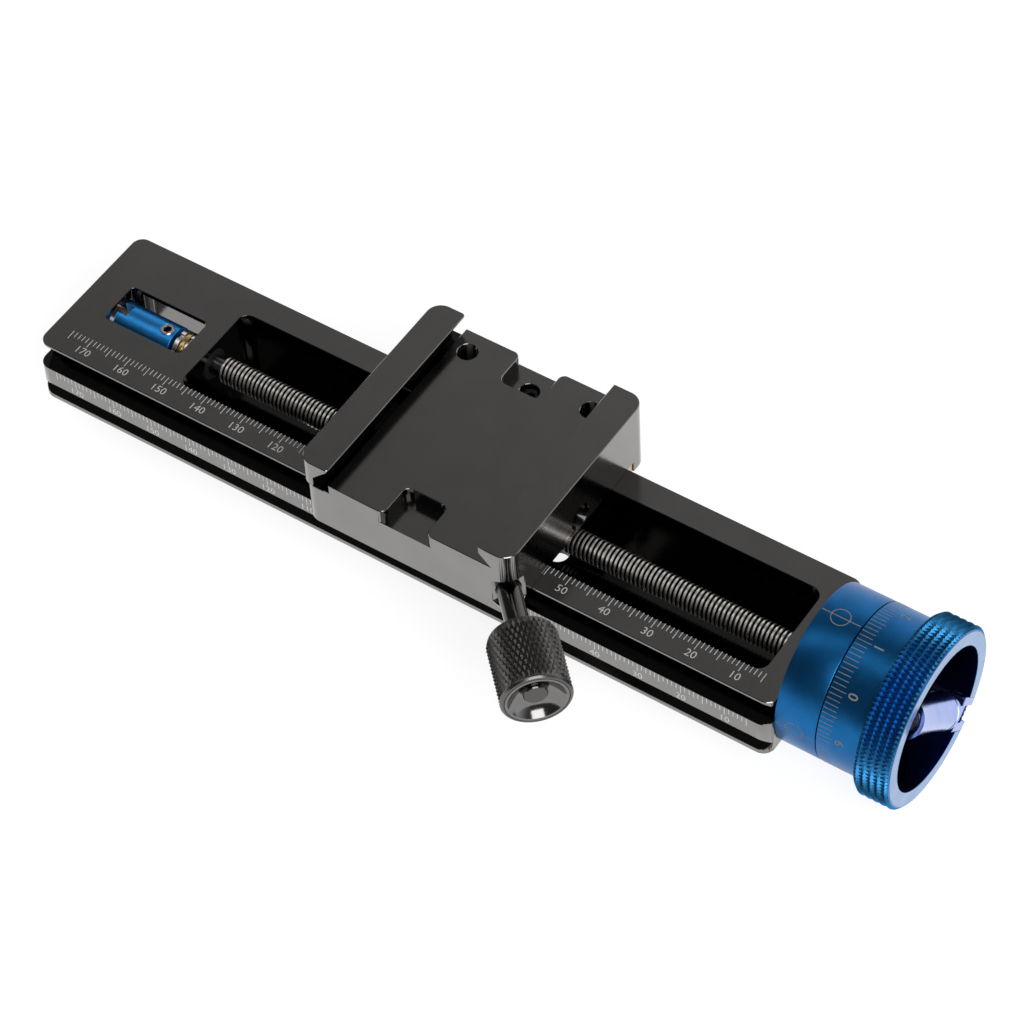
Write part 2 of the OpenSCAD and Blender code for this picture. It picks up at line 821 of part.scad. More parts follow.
module carriage_block() {
    color(black)
    difference() {
        intersection() {
            rotate([90, 0, 0])
                linear_extrude(height = block_w, center = true)
                    block_profile();
            slab(block_x0, block_x1, block_y, skirt_z, jaw_top_z, block_corner_r);
        }
        along_bed(block_x0 - cut, block_x1 + cut)
            bed_hollow();
        translate([pocket_x, 0, 0]) {
            stop_pocket();
            mirror([0, 1, 0])
                stop_pocket();
        }
        translate([block_x0 - cut, -channel_half, skirt_z])
            cube([channel_x1 - block_x0 + cut, 2 * channel_half, channel_top - skirt_z]);
        translate([block_x0 - cut, -tab_half - tab_play, skirt_z])
            cube([tab_x1 + jaw_travel + tab_play - block_x0 + cut,
                  2 * (tab_half + tab_play), seat_z - skirt_z]);
        gib_screw_places(gib_top_z)
            cylinder(r = gib_screw_r, h = seat_z);
        nut_screw_places(skirt_z)
            cylinder(r = nut_screw_r, h = under_z + nut_screw_bite - skirt_z);
        translate([channel_x1 - cut, 0, stop_screw_z])
            rotate([0, 90, 0])
                cylinder(r = stop_screw_r, h = block_l);
        translate([stop_seat_x, 0, stop_screw_z])
            rotate([0, 90, 0])
                cylinder(r = stop_hole_r, h = block_l);
        clamp_frame() {
            translate([0, 0, bore_end_at])
                cylinder(r = clamp_screw_r + run_fit, h = -bore_end_at);
            translate([0, 0, -spot_face_d])
                cylinder(r = spot_face_r, h = spot_face_d + block_corner_r);
        }
    }
}

module gib() {
    near = flange_w / 2 + slide_fit;
    toe_z = skirt_z + face_gap;
    low = min(skirt_z, flank_z) - cut;
    end_gap = 0.3;
    color(brass)
    intersection() {
        along_bed(block_x0 + end_gap, block_x1 - end_gap)
            polygon([[flank_y(low), low], [gib_side, low], [gib_side, gib_top_z],
                     [near, gib_top_z], [near, flank_z + near - flank_y(flank_z)],
                     [flank_y(flank_z), flank_z]]);
        translate([block_x0, 0, toe_z])
            cube([block_l, gib_side + cut, rail_h]);
    }
}

module gib_screws() {
    color(steel)
    gib_screw_places(gib_top_z)
        difference() {
            union() {
                cylinder(r1 = gib_screw_r / 2, r2 = gib_screw_r, h = gib_screw_tip_h);
                translate([0, 0, gib_screw_tip_h])
                    cylinder(r = gib_screw_r, h = gib_screw_l - gib_screw_tip_h);
            }
            translate([0, 0, gib_screw_l / 2])
                cylinder(r = gib_screw_r * socket_share, h = gib_screw_l, $fn = 6);
        }
}

module feed_nut() {
    color(black)
    difference() {
        translate([nut_x0, -nut_w / 2, nut_z0])
            cube([nut_x1 - nut_x0, nut_w, under_z - nut_z0]);
        axial_bar(nut_x0 - cut, nut_x1 + cut, crest_r + run_fit);
        nut_screw_places(nut_z0 - cut)
            cylinder(r = nut_screw_r, h = under_z);
        nut_screw_places(nut_z0 - cut)
            cylinder(r = nut_screw_head_r + nut_screw_head_fit, h = nut_screw_head_h + 2 * cut);
    }
}

module nut_screws() {
    seat = nut_z0 + nut_screw_head_h + cut;
    color(steel)
    nut_screw_places(seat)
        rotate([180, 0, 0])
            cap_screw(nut_screw_r, under_z + nut_screw_bite - seat, nut_screw_head_r,
                      nut_screw_head_h);
}

module stop_screw() {
    color(steel)
    translate([stop_seat_x, 0, stop_screw_z])
        rotate([0, 90, 0])
            cap_screw(stop_screw_r, stop_seat_x - stop_screw_x0, stop_screw_head_r,
                      stop_screw_head_h);
}

// Side outline of the moving jaw
module jaw_profile() {
    land_z = jaw_top_z - jaw_land_h;
    polygon([[jaw_x0, jaw_foot_z], [jaw_x0, jaw_top_z], [jaw_x1, jaw_top_z], [jaw_x1, land_z],
             [jaw_face_x, land_z - jaw_undercut], [jaw_face_x, jaw_foot_z]]);
}

// Plan of the moving jaw: wide radii on its outer side, small ones at its edge
module jaw_plan() {
    translate([jaw_x0 + block_corner_r, -block_y, jaw_foot_z])
        cube([jaw_w - block_corner_r - jaw_tip_r, block_w, jaw_top_z - jaw_foot_z]);
    translate([jaw_x0, -block_y + block_corner_r, jaw_foot_z])
        cube([jaw_w, block_w - 2 * block_corner_r, jaw_top_z - jaw_foot_z]);
    translate([jaw_x1 - block_corner_r, -block_y + jaw_tip_r, jaw_foot_z])
        cube([block_corner_r, block_w - 2 * jaw_tip_r, jaw_top_z - jaw_foot_z]);
    for (side = [-1, 1]) {
        translate([jaw_x0 + block_corner_r, side * (block_y - block_corner_r), jaw_foot_z])
            cylinder(r = block_corner_r, h = jaw_top_z - jaw_foot_z);
        translate([jaw_x1 - jaw_tip_r, side * (block_y - jaw_tip_r), jaw_foot_z])
            cylinder(r = jaw_tip_r, h = jaw_top_z - jaw_foot_z);
    }
}

module jaw_screw_place() {
    translate([jaw_x0 + jaw_screw_head_h, 0, bar_mid_z])
        rotate([0, -90, 0])
            children();
}

module moving_jaw() {
    color(black)
    difference() {
        union() {
            intersection() {
                rotate([90, 0, 0])
                    linear_extrude(height = block_w, center = true)
                        jaw_profile();
                jaw_plan();
            }
            translate([jaw_x0, -tab_half, bar_z0])
                cube([tab_x1 - jaw_x0, 2 * tab_half, jaw_foot_z + cut - bar_z0]);
        }
        jaw_screw_place() {
            cylinder(r = jaw_screw_head_r, h = jaw_screw_head_h + cut);
            translate([0, 0, -jaw_w])
                cylinder(r = jaw_screw_r, h = jaw_w + cut);
        }
    }
}

module draw_bar() {
    half = bar_w / 2;
    color(steel)
    difference() {
        translate([tab_x1, -half, bar_z0])
            cube([bar_x1 - tab_x1, bar_w, bar_h]);
        jaw_screw_place()
            translate([0, 0, -jaw_screw_l])
                cylinder(r = jaw_screw_r, h = jaw_screw_l + cut);
        translate([0, 0, bar_z0 - cut])
            linear_extrude(height = bar_h + 2 * cut)
                polygon([[wedge_x0, -half - cut], [wedge_x1 + cut / wedge_slope, -half - cut],
                         [wedge_x0, wedge_slope * (wedge_x1 - wedge_x0) - half]]);
    }
}

module jaw_screw() {
    color(steel)
    jaw_screw_place()
        cap_screw(jaw_screw_r, jaw_screw_l, jaw_screw_head_r, jaw_screw_head_h);
}

module clamp_cone() {
    color(steel)
    clamp_frame()
        translate([0, 0, cone_tip_at]) {
            cylinder(r1 = cone_tip_r, r2 = clamp_screw_r, h = cone_l);
            translate([0, 0, cone_l])
                cylinder(r = clamp_screw_r, h = cone_shank_l);
        }
}

module clamp_screw() {
    color(black)
    clamp_frame()
        translate([0, 0, cone_base_at + run_fit])
            cylinder(r = clamp_screw_r, h = knob_end_at - cap_t - cone_base_at - run_fit);
}

module clamp_knob() {
    color(black)
    clamp_frame()
        rotate_extrude()
            polygon([[clamp_screw_r, knob_gap], [knob_r - knob_chamfer, knob_gap],
                     [knob_r, knob_gap + knob_chamfer], [knob_r, knob_end_at - knob_chamfer],
                     [knob_r - knob_chamfer / 2, knob_end_at], [cap_r + cap_seam, knob_end_at],
                     [cap_r + cap_seam, knob_end_at - cap_t], [clamp_screw_r, knob_end_at - cap_t]]);
}

module knob_cap() {
    disc_r = dish_r * 0.44;
    dish_d = cap_t * 0.7;
    disc_d = cap_t * 0.45;
    color(black)
    clamp_frame()
        rotate_extrude()
            polygon([[0, knob_end_at - cap_t], [cap_r, knob_end_at - cap_t],
                     [cap_r, knob_end_at], [dish_r, knob_end_at],
                     [disc_r * 1.2, knob_end_at - dish_d], [disc_r, knob_end_at - disc_d],
                     [0, knob_end_at - disc_d]]);
}

rail();
front_bush();
rear_bush();
ball_bearing();
collar();
collar_screws();
leadscrew();
coupling();
coupling_screw();
lock_nut();
brass_ring();
steel_ring();
dial_knob();
hub_washer();
hub_screw();
crank_bracket();
crank_pin();
crank_link();
axle_screw();
crank_grip();
carriage_block();
gib();
gib_screws();
feed_nut();
nut_screws();
stop_screw();
moving_jaw();
draw_bar();
jaw_screw();
clamp_cone();
clamp_screw();
clamp_knob();
knob_cap();
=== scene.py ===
import math

import bmesh
import bpy
from mathutils import Matrix, Vector


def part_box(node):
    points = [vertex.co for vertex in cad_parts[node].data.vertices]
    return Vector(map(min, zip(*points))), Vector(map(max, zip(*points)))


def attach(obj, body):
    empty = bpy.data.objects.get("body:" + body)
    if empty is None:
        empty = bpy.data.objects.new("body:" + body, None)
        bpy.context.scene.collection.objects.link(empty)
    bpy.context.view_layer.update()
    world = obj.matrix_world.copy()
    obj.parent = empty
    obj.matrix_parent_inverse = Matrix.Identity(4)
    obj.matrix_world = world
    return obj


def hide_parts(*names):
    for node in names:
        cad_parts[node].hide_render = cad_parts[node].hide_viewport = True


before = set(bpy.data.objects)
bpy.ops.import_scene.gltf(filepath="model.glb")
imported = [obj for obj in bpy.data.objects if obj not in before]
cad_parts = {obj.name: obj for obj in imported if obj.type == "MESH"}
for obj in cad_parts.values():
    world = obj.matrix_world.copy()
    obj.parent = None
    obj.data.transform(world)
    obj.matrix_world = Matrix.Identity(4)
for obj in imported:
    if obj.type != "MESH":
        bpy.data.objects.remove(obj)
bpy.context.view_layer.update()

MM = 0.001
FULL_TURN = 2 * math.pi

# Levels and ends of the bed, in millimetres
BED_RIGHT = 90
BED_TOP = 15.4
BED_SIDE = -19
AXIS_HEIGHT = 10.05

# The bed's hollows, in millimetres from its middle: half widths, ends along it and levels
SLOT_HALF = 11.65
SLOT_ENDS = (-57.6, 84.3)
WINDOW_HALF = 6.9
WINDOW_ENDS = (-82.3, -62)
GROOVE_BOTTOM = 17.1
GROOVE_LEVELS = (1.2, 4.3)
FLANGE_ROOT = 14
FLANGE_LEVELS = (9.5, 14.5)

# Dial knob along the bed, in millimetres
COLLAR_RADIUS = 17.05
COLLAR_END = 99.16
DIAL_START = 99.36
DIAL_RADIUS = 17.07
GRIP_START = 108.71
GRIP_END = 116.56
WEB_FACE = 103.56
CAVITY_RADIUS = 15.65
KNURL_CREST = 19.65
KNURL_ROOT = 19.05
KNURL_TEETH = 117

# Crank in the knob's end: its centre along the bed and the direction of its hinge
CRANK_X = 113.91
HINGE_ANGLE = math.radians(-45.5)

# Clamp screw: the carriage's corner that it leaves, and its direction
CLAMP_CORNER = Vector((34.75, -24.7, 18.5)) * MM
CLAMP_AXIS = Vector((1, -1, 0)).normalized()

# Depth of engraved marks in their surface, and how far their fill stands over it
MARK_DEPTH = 0.04
MARK_PROUD = 0.008
LINE_WIDTH = 0.17

# Faces over this area are flat on the real part, and are shaded flat
LARGE_FACE = 6 * MM * MM

# Points closer than these are one: in a CAD copy or a thread, in a cut shape, in a turned one
WELD = 0.002 * MM
CUT_WELD = 0.0005 * MM
FINE_WELD = 0.0002 * MM

# Points closer than this to a turned shape's axis lie on it
ON_AXIS = 0.0001 * MM

# Noise textures keep mostly between these values
NOISE_LOW = 0.3
NOISE_HIGH = 0.7


# ---- finishes


class Finish:
    """A material under way: its shader, and helpers that add texture nodes to it."""

    def __init__(self, name):
        self.material = bpy.data.materials.new(name)
        self.material.use_nodes = True
        self.nodes = self.material.node_tree.nodes
        self.links = self.material.node_tree.links
        self.shader = self.nodes["Principled BSDF"]
        self.coords = self.nodes.new("ShaderNodeTexCoord")

    def set(self, **values):
        """Values that are the same all over the piece."""
        for name, value in values.items():
            self.shader.inputs[name.replace("_", " ")].default_value = value
        return self

    def noise(self, size_mm, stretch=(1, 1, 1)):
        """Noise whose features are about size_mm across, stretched along the axes."""
        mapping = self.nodes.new("ShaderNodeMapping")
        mapping.inputs["Scale"].default_value = [s / (size_mm * MM) for s in stretch]
        self.links.new(self.coords.outputs["Object"], mapping.inputs["Vector"])
        noise = self.nodes.new("ShaderNodeTexNoise")
        noise.inputs["Scale"].default_value = 1
        noise.inputs["Detail"].default_value = 3
        self.links.new(mapping.outputs["Vector"], noise.inputs["Vector"])
        return noise.outputs["Fac"]

    def turned_rings(self, pitch_mm, centre):
        """Fine rings about an axis along the bed, as a lathe leaves them on a face."""
        mapping = self.nodes.new("ShaderNodeMapping")
        mapping.inputs["Location"].default_value = [-c * MM for c in centre]
        self.links.new(self.coords.outputs["Object"], mapping.inputs["Vector"])
        wave = self.nodes.new("ShaderNodeTexWave")
        wave.wave_type = "RINGS"
        wave.rings_direction = "X"
        wave.inputs["Scale"].default_value = 1 / (pitch_mm * MM * 3)
        wave.inputs["Distortion"].default_value = 0.4
        self.links.new(mapping.outputs["Vector"], wave.inputs["Vector"])
        return wave.outputs["Fac"]

    def colours(self, factor, dark, light):
        """The base colour, from dark to light as a noise rises."""
        ramp = self.nodes.new("ShaderNodeValToRGB")
        for end, at, colour in ((0, NOISE_LOW, dark), (1, NOISE_HIGH, light)):
            ramp.color_ramp.elements[end].position = at
            ramp.color_ramp.elements[end].color = (*colour, 1)
        self.links.new(factor, ramp.inputs["Fac"])
        self.links.new(ramp.outputs["Color"], self.shader.inputs["Base Color"])
        return self

    def roughness(self, factor, low, high):
        """The roughness, from low to high as a noise rises."""
        spread = self.nodes.new("ShaderNodeMapRange")
        spread.inputs["From Min"].default_value = NOISE_LOW
        spread.inputs["From Max"].default_value = NOISE_HIGH
        spread.inputs["To Min"].default_value = low
        spread.inputs["To Max"].default_value = high
        self.links.new(factor, spread.inputs["Value"])
        self.links.new(spread.outputs["Result"], self.shader.inputs["Roughness"])
        return self

    def bump(self, factor, depth_mm, strength):
        """Relief of depth_mm from a texture."""
        bump = self.nodes.new("ShaderNodeBump")
        bump.inputs["Distance"].default_value = depth_mm * MM
        bump.inputs["Strength"].default_value = strength
        self.links.new(factor, bump.inputs["Height"])
        self.links.new(bump.outputs["Normal"], self.shader.inputs["Normal"])
        return self


def black_anodising(name="black_anodising", level=1, low=0.14, high=0.19):
    """Black dyed aluminium with a fine gloss, darker at a lower level."""
    finish = Finish(name).set(Metallic=1)
    finish.colours(finish.noise(9), (0.24 * level, 0.232 * level, 0.226 * level),
                   (0.26 * level, 0.252 * level, 0.246 * level))
    finish.roughness(finish.noise(0.6), low, high)
    finish.bump(finish.noise(0.8), 0.0006, 0.15)
    return finish.material


def blue_anodising(name="blue_anodising", low=0.34, high=0.4, dark=(0.01, 0.12, 0.33),
                   light=(0.014, 0.15, 0.4)):
    """Blue dyed aluminium, bead blasted before the dye."""
    finish = Finish(name).set(Metallic=1)
    finish.colours(finish.noise(5), dark, light)
    finish.roughness(finish.noise(0.5), low, high)
    finish.bump(finish.noise(0.2), 0.0004, 0.2)
    return finish.material


def pale_anodising(name, dark, light, low, centre=None):
    """Pale blue anodising, turned where it has a centre and satin elsewhere."""
    finish = Finish(name).set(Metallic=1)
    finish.colours(finish.noise(4), dark, light)
    finish.roughness(finish.noise(0.8), low, low + 0.06)
    relief = finish.turned_rings(0.12, centre) if centre else finish.noise(0.3)
    finish.bump(relief, 0.0006, 0.3)
    return finish.material


def turned_steel(name="turned_steel", dark=(0.78, 0.74, 0.7), light=(0.88, 0.84, 0.8), low=0.24):
    """Stainless steel with marks that run round the leadscrew's axis."""
    finish = Finish(name).set(Metallic=1)
    streaks = finish.noise(0.4, (1, 0.1, 0.1))
    finish.colours(finish.noise(1.5), dark, light)
    finish.roughness(streaks, low, low + 0.05)
    return finish.material


def turned_brass():
    """Plain brass with marks of the tool."""
    finish = Finish("turned_brass").set(Metallic=1)
    streaks = finish.noise(0.1, (0.05, 1, 1))
    finish.colours(finish.noise(2), (0.6, 0.42, 0.17), (0.72, 0.53, 0.25))
    finish.roughness(streaks, 0.26, 0.32)
    finish.bump(streaks, 0.0006, 0.3)
    return finish.material


def black_polymer():
    """Machined black polymer of the nut and the rear bush."""
    finish = Finish("black_polymer").set(IOR=1.5)
    finish.colours(finish.noise(3), (0.012, 0.012, 0.013), (0.02, 0.02, 0.021))
    finish.roughness(finish.noise(0.4, (1, 0.2, 0.2)), 0.4, 0.55)
    finish.bump(finish.noise(0.2), 0.004, 0.5)
    return finish.material


def engraving_fill(name, dark, light):
    """The pale bottom of a laser engraving."""
    finish = Finish(name)
    finish.colours(finish.noise(0.3), dark, light)
    finish.roughness(finish.noise(0.2), 0.6, 0.8)
    return finish.material


def etched_metal():
    """Marks burnt through the black dye on the bed's side, which shine as it does."""
    finish = Finish("etched_metal").set(Metallic=1)
    finish.colours(finish.noise(0.3), (0.55, 0.55, 0.55), (0.65, 0.65, 0.65))
    finish.roughness(finish.noise(0.2), 0.3, 0.4)
    return finish.material


BLACK = black_anodising()
# Darker copy of the black anodising for the hollows of the bed, carriage and jaw: painted shade
BLACK_SHADED = black_anodising("black_shaded", level=0.22, low=0.1, high=0.14)
BLACK_KNURL = black_anodising("black_knurl", level=0.55, low=0.26, high=0.32)
BLACK_CAP = black_anodising("black_cap", level=0.75, low=0.12, high=0.16)
BLACK_SHAFT = black_anodising("black_shaft", level=0.4, low=0.1, high=0.14)
BLACK_OXIDE = black_anodising("black_oxide", level=0.3, low=0.3, high=0.4)
BLUE = blue_anodising()
# Brighter copy of the blue for the dial's knurl, so that its facets look lit: painted highlight
BLUE_KNURL_PAINTED_HIGHLIGHT = blue_anodising("blue_knurl_painted_highlight", low=0.28, high=0.34, dark=(0.03, 0.2, 0.46),
                            light=(0.04, 0.24, 0.52))
BLUE_COUPLING = blue_anodising("blue_coupling", low=0.36, high=0.42, dark=(0.035, 0.32, 0.82),
                               light=(0.05, 0.38, 0.9))
# Darker copy of the blue for the inside of the knob's cup: painted shade
BLUE_PAINTED_SHADE = blue_anodising("blue_cavity_painted_shade", low=0.3, high=0.4, dark=(0.004, 0.01, 0.07),
                           light=(0.006, 0.016, 0.09))
RIM = pale_anodising("turned_rim", dark=(0.23, 0.35, 0.58), light=(0.28, 0.41, 0.64), low=0.26,
                     centre=(0, 0, AXIS_HEIGHT))
LILAC = pale_anodising("lilac_anodising", dark=(0.28, 0.36, 0.72), light=(0.33, 0.42, 0.78),
                       low=0.16)
STEEL = turned_steel()
STEEL_THREAD = turned_steel("thread_steel", dark=(0.92, 0.88, 0.84), light=(1, 0.96, 0.92),
                            low=0.3)
# Darker copy of the steel for the thread's roots, the grub screw's socket and the rear journal:
# painted shade
STEEL_PAINTED_SHADE = turned_steel("steel_painted_shade", dark=(0.07, 0.065, 0.06), light=(0.12, 0.11, 0.1))
STEEL_SCREW = turned_steel("screw_steel", dark=(0.3, 0.29, 0.27), light=(0.38, 0.36, 0.34))
BRASS = turned_brass()
POLYMER = black_polymer()
FILL = engraving_fill("engraving_fill", dark=(0.58, 0.57, 0.56), light=(0.68, 0.67, 0.66))
FILL_SIDE = etched_metal()
FILL_BLUE = engraving_fill("engraving_fill_blue", dark=(0.22, 0.24, 0.23),
                           light=(0.28, 0.3, 0.28))


# ---- shaping


def piece(name, bm, material, body, replaces=(), smooth_angle=30):
    """Makes the finished mesh a piece that rides on its body; its large faces stay flat.

    The mesh is used up. Its faces' material numbers count along a list of materials.
    """
    curved = [f.calc_area() < LARGE_FACE for f in bm.faces]
    mesh = bpy.data.meshes.new(name)
    bm.to_mesh(mesh)
    bm.free()
    materials = material if isinstance(material, (list, tuple)) else [material]
    for one in materials:
        mesh.materials.append(one)
    mesh.set_sharp_from_angle(angle=math.radians(smooth_angle))
    mesh.polygons.foreach_set("use_smooth", curved)
    made = bpy.data.objects.new(name, mesh)
    bpy.context.scene.collection.objects.link(made)
    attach(made, body)
    if replaces:
        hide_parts(*replaces)


def chamfered_copy(node, name, body, material, chamfer, shaded=None):
    """A copy of a CAD node with its flat faces whole again and its edges broken.

    Faces whose middle passes the test shaded take the second of its materials.
    """
    flat_under, sharp_over = math.radians(0.6), math.radians(32)
    bm = bmesh.new()
    bm.from_mesh(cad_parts[node].data)
    bmesh.ops.remove_doubles(bm, verts=bm.verts, dist=WELD)
    bmesh.ops.dissolve_degenerate(bm, edges=bm.edges, dist=2 * WELD)
    bmesh.ops.dissolve_limit(bm, angle_limit=flat_under, verts=bm.verts, edges=bm.edges)
    if chamfer:
        sharp = [e for e in bm.edges if e.is_convex and e.calc_face_angle(0) > sharp_over]
        bmesh.ops.bevel(bm, geom=sharp, offset=chamfer * MM, offset_type="OFFSET",
                        affect="EDGES", segments=1, profile=0.5, material=-1,
                        clamp_overlap=False, loop_slide=True)
    low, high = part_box(node)
    for v in bm.verts:
        v.co = [min(max(at, a), b) for at, a, b in zip(v.co, low, high)]
    if shaded:
        for f in bm.faces:
            f.material_index = int(shaded(f.calc_center_median() / MM))
    piece(name, bm, material, body, [node])


def joined(*parts):
    """One mesh of several."""
    whole = bmesh.new()
    for part in parts:
        mesh = bpy.data.meshes.new("part")
        part.to_mesh(mesh)
        part.free()
        whole.from_mesh(mesh)
        bpy.data.meshes.remove(mesh)
    return whole


def turned(outline, steps, place, broken=0):
    """A shape turned about place's X axis, its outline as (along, radius) in mm.

    The edges away from the axis are broken by the given number of millimetres.
    """
    bm = bmesh.new()
    bm.faces.new([bm.verts.new((x * MM, r * MM, 0)) for x, r in outline])
    if broken:
        corners = [v for v in bm.verts if v.co.y > 0]
        bmesh.ops.bevel(bm, geom=corners, offset=broken * MM, offset_type="OFFSET",
                        affect="VERTICES", segments=2, profile=0.5, material=-1)
    bmesh.ops.delete(bm, geom=list(bm.faces), context="FACES_ONLY")
    inner = [e for e in bm.edges if all(v.co.y < ON_AXIS for v in e.verts)]
    bmesh.ops.delete(bm, geom=inner, context="EDGES")
    bmesh.ops.spin(bm, geom=list(bm.verts) + list(bm.edges), cent=(0, 0, 0), axis=(1, 0, 0),
                   dvec=(0, 0, 0), angle=FULL_TURN, steps=steps, use_merge=True)
    bmesh.ops.remove_doubles(bm, verts=bm.verts, dist=FINE_WELD)
    bmesh.ops.recalc_face_normals(bm, faces=bm.faces)
    bmesh.ops.transform(bm, matrix=place, verts=bm.verts)
    return bm


def along_axis():
    """Frame on the leadscrew's axis: X along the bed."""
    return Matrix.Translation((0, 0, AXIS_HEIGHT * MM))


def along_clamp():
    """Frame on the clamp screw's axis: X outwards from the carriage's corner."""
    up = Vector((0, 0, 1))
    side = up.cross(CLAMP_AXIS)
    turn = Matrix((CLAMP_AXIS, side, up)).transposed().to_4x4()
    return Matrix.Translation(CLAMP_CORNER) @ turn


def along_crank():
    """Frame of the folded crank: X towards its hinge, centred on the knob's axis."""
    hinge = Vector((0, math.cos(HINGE_ANGLE), math.sin(HINGE_ANGLE)))
    outwards = Vector((1, 0, 0))
    turn = Matrix((hinge, outwards, hinge.cross(outwards))).transposed().to_4x4()
    return Matrix.Translation((CRANK_X * MM, 0, AXIS_HEIGHT * MM)) @ turn


def knurled_band(columns, crest, root, teeth, place):
    """A diamond knurl: rings of pyramids in columns, closed inside the knob.

    The first and last columns are the band's plain ends.
    """
    bm = bmesh.new()
    half_steps = 2 * teeth
    tuck = 0.4
    line = [bm.verts.new((x * MM, crest * MM, 0)) for x in columns]
    edges = [bm.edges.new(pair) for pair in zip(line, line[1:])]
    bmesh.ops.spin(bm, geom=line + edges, cent=(0, 0, 0), axis=(1, 0, 0), dvec=(0, 0, 0),
                   angle=FULL_TURN, steps=half_steps, use_merge=True)
    bmesh.ops.remove_doubles(bm, verts=bm.verts, dist=FINE_WELD)
    low = []
    for v in bm.verts:
        turn = math.atan2(v.co.z, v.co.y) / FULL_TURN * half_steps
        column = min(range(len(columns)), key=lambda i: abs(columns[i] * MM - v.co.x))
        if (round(turn) + column) % 2 or column in (0, len(columns) - 1):
            v.co.yz = v.co.yz * (root / crest)
            low.append(v)
    bmesh.ops.connect_verts(bm, verts=low)
    rims = [e for e in bm.edges if e.is_boundary]
    inwards = bmesh.ops.extrude_edge_only(bm, edges=rims)["geom"]
    for v in inwards:
        if isinstance(v, bmesh.types.BMVert):
            v.co.yz = v.co.yz * ((root - tuck) / root)
    rims = [e for e in bm.edges if e.is_boundary]
    bmesh.ops.bridge_loops(bm, edges=rims)
    bmesh.ops.recalc_face_normals(bm, faces=bm.faces)
    bmesh.ops.transform(bm, matrix=place, verts=bm.verts)
    return bm


def box(bm, low, high, place=Matrix()):
    """Adds a box between two corners in millimetres."""
    centre = [(a + b) / 2 * MM for a, b in zip(low, high)]
    size = [(b - a) * MM for a, b in zip(low, high)]
    matrix = place @ Matrix.Translation(centre) @ Matrix.Diagonal((*size, 1))
    return bmesh.ops.create_cube(bm, size=1, matrix=matrix)["verts"]


def number(bm, text, height, place, weight=-0.004):
    """Adds a number as a thin slab, its middle at place, its height in millimetres."""
    curve = bpy.data.curves.new("number", "FONT")
    curve.body = text
    curve.align_x = "CENTER"
    curve.resolution_u = 3
    curve.offset = weight
    curve.extrude = 1
    written = bpy.data.objects.new("number", curve)
    bpy.context.scene.collection.objects.link(written)
    bpy.context.view_layer.update()
    mesh = bpy.data.meshes.new_from_object(written)
    tall = [v.co.y for v in mesh.vertices]
    scale = height / (max(tall) - min(tall)) * MM
    middle = (max(tall) + min(tall)) / 2
    thick = (MARK_DEPTH + MARK_PROUD) / 2 * MM
    sunk = (MARK_PROUD - MARK_DEPTH) / 2 * MM
    mesh.transform(Matrix.Translation((0, -middle, 0)))
    mesh.transform(Matrix.Diagonal((scale, scale, thick, 1)))
    mesh.transform(place @ Matrix.Translation((0, 0, sunk)))
    first = len(bm.verts)
    bm.from_mesh(mesh)
    bpy.data.objects.remove(written)
    bpy.data.curves.remove(curve)
    bpy.data.meshes.remove(mesh)
    bm.verts.ensure_lookup_table()
    return bm.verts[first:]


def wrapped(verts, radius):
    """Bends marks drawn flat, with Y as the arc and Z as the height, round the knob's axis."""
    for v in verts:
        reach = radius * MM + v.co.z
        angle = v.co.y / (radius * MM)
        v.co.y = reach * math.cos(angle)
        v.co.z = reach * math.sin(angle) + AXIS_HEIGHT * MM


def tick(bm, x, y0, y1, place):
    """Adds a line of the scale at x, from y0 to y1."""
    half = LINE_WIDTH / 2
    box(bm, (x - half, y0, -MARK_DEPTH), (x + half, y1, MARK_PROUD), place)


# ---- base


def bed_scale(name, place, material, y_start, short, long, label_y, label_height):
    """One of the bed's millimetre scales, drawn on place's XY plane."""
    bm = bmesh.new()
    for reading in range(5, 176):
        x = BED_RIGHT - reading
        length = long if reading % 5 == 0 else short
        tick(bm, x, y_start - length, y_start, place)
        if reading % 10 == 0:
            spot = Matrix.Translation((x * MM, label_y * MM, 0))
            number(bm, str(reading), label_height, place @ spot)
    piece(name, bm, material, "base")


def within(at, ends):
    """Whether a measure lies between two ends."""
    return ends[0] < at < ends[1]


def in_shade(at):
    """Whether a bed face takes painted shade: in the slot, window or grip groove, or under the
    flange.
    """
    below_top = at.z < BED_TOP - 0.05
    in_slot = below_top and abs(at.y) < SLOT_HALF and within(at.x, SLOT_ENDS)
    in_window = below_top and abs(at.y) < WINDOW_HALF and within(at.x, WINDOW_ENDS)
    in_groove = abs(at.y) > GROOVE_BOTTOM and within(at.z, GROOVE_LEVELS)
    under_flange = abs(at.y) > FLANGE_ROOT and within(at.z, FLANGE_LEVELS)
    return in_slot or in_window or in_groove or under_flange


def bed():
    chamfered_copy("rail", "bed", "base", [BLACK, BLACK_SHADED],
                   chamfer=0.13, shaded=in_shade)
    top = Matrix.Translation((0, 0, BED_TOP * MM))
    bed_scale("bed_top_scale", top, FILL, y_start=-11.5, short=1.5, long=2.35,
              label_y=-15.12, label_height=1.75)
    front = Matrix.Translation((0, BED_SIDE * MM, 0)) @ Matrix.Rotation(math.pi / 2, 4, "X")
    bed_scale("bed_side_scale", front, FILL_SIDE, y_start=9.4, short=1.5, long=2.3,
              label_y=5.92, label_height=1.65)


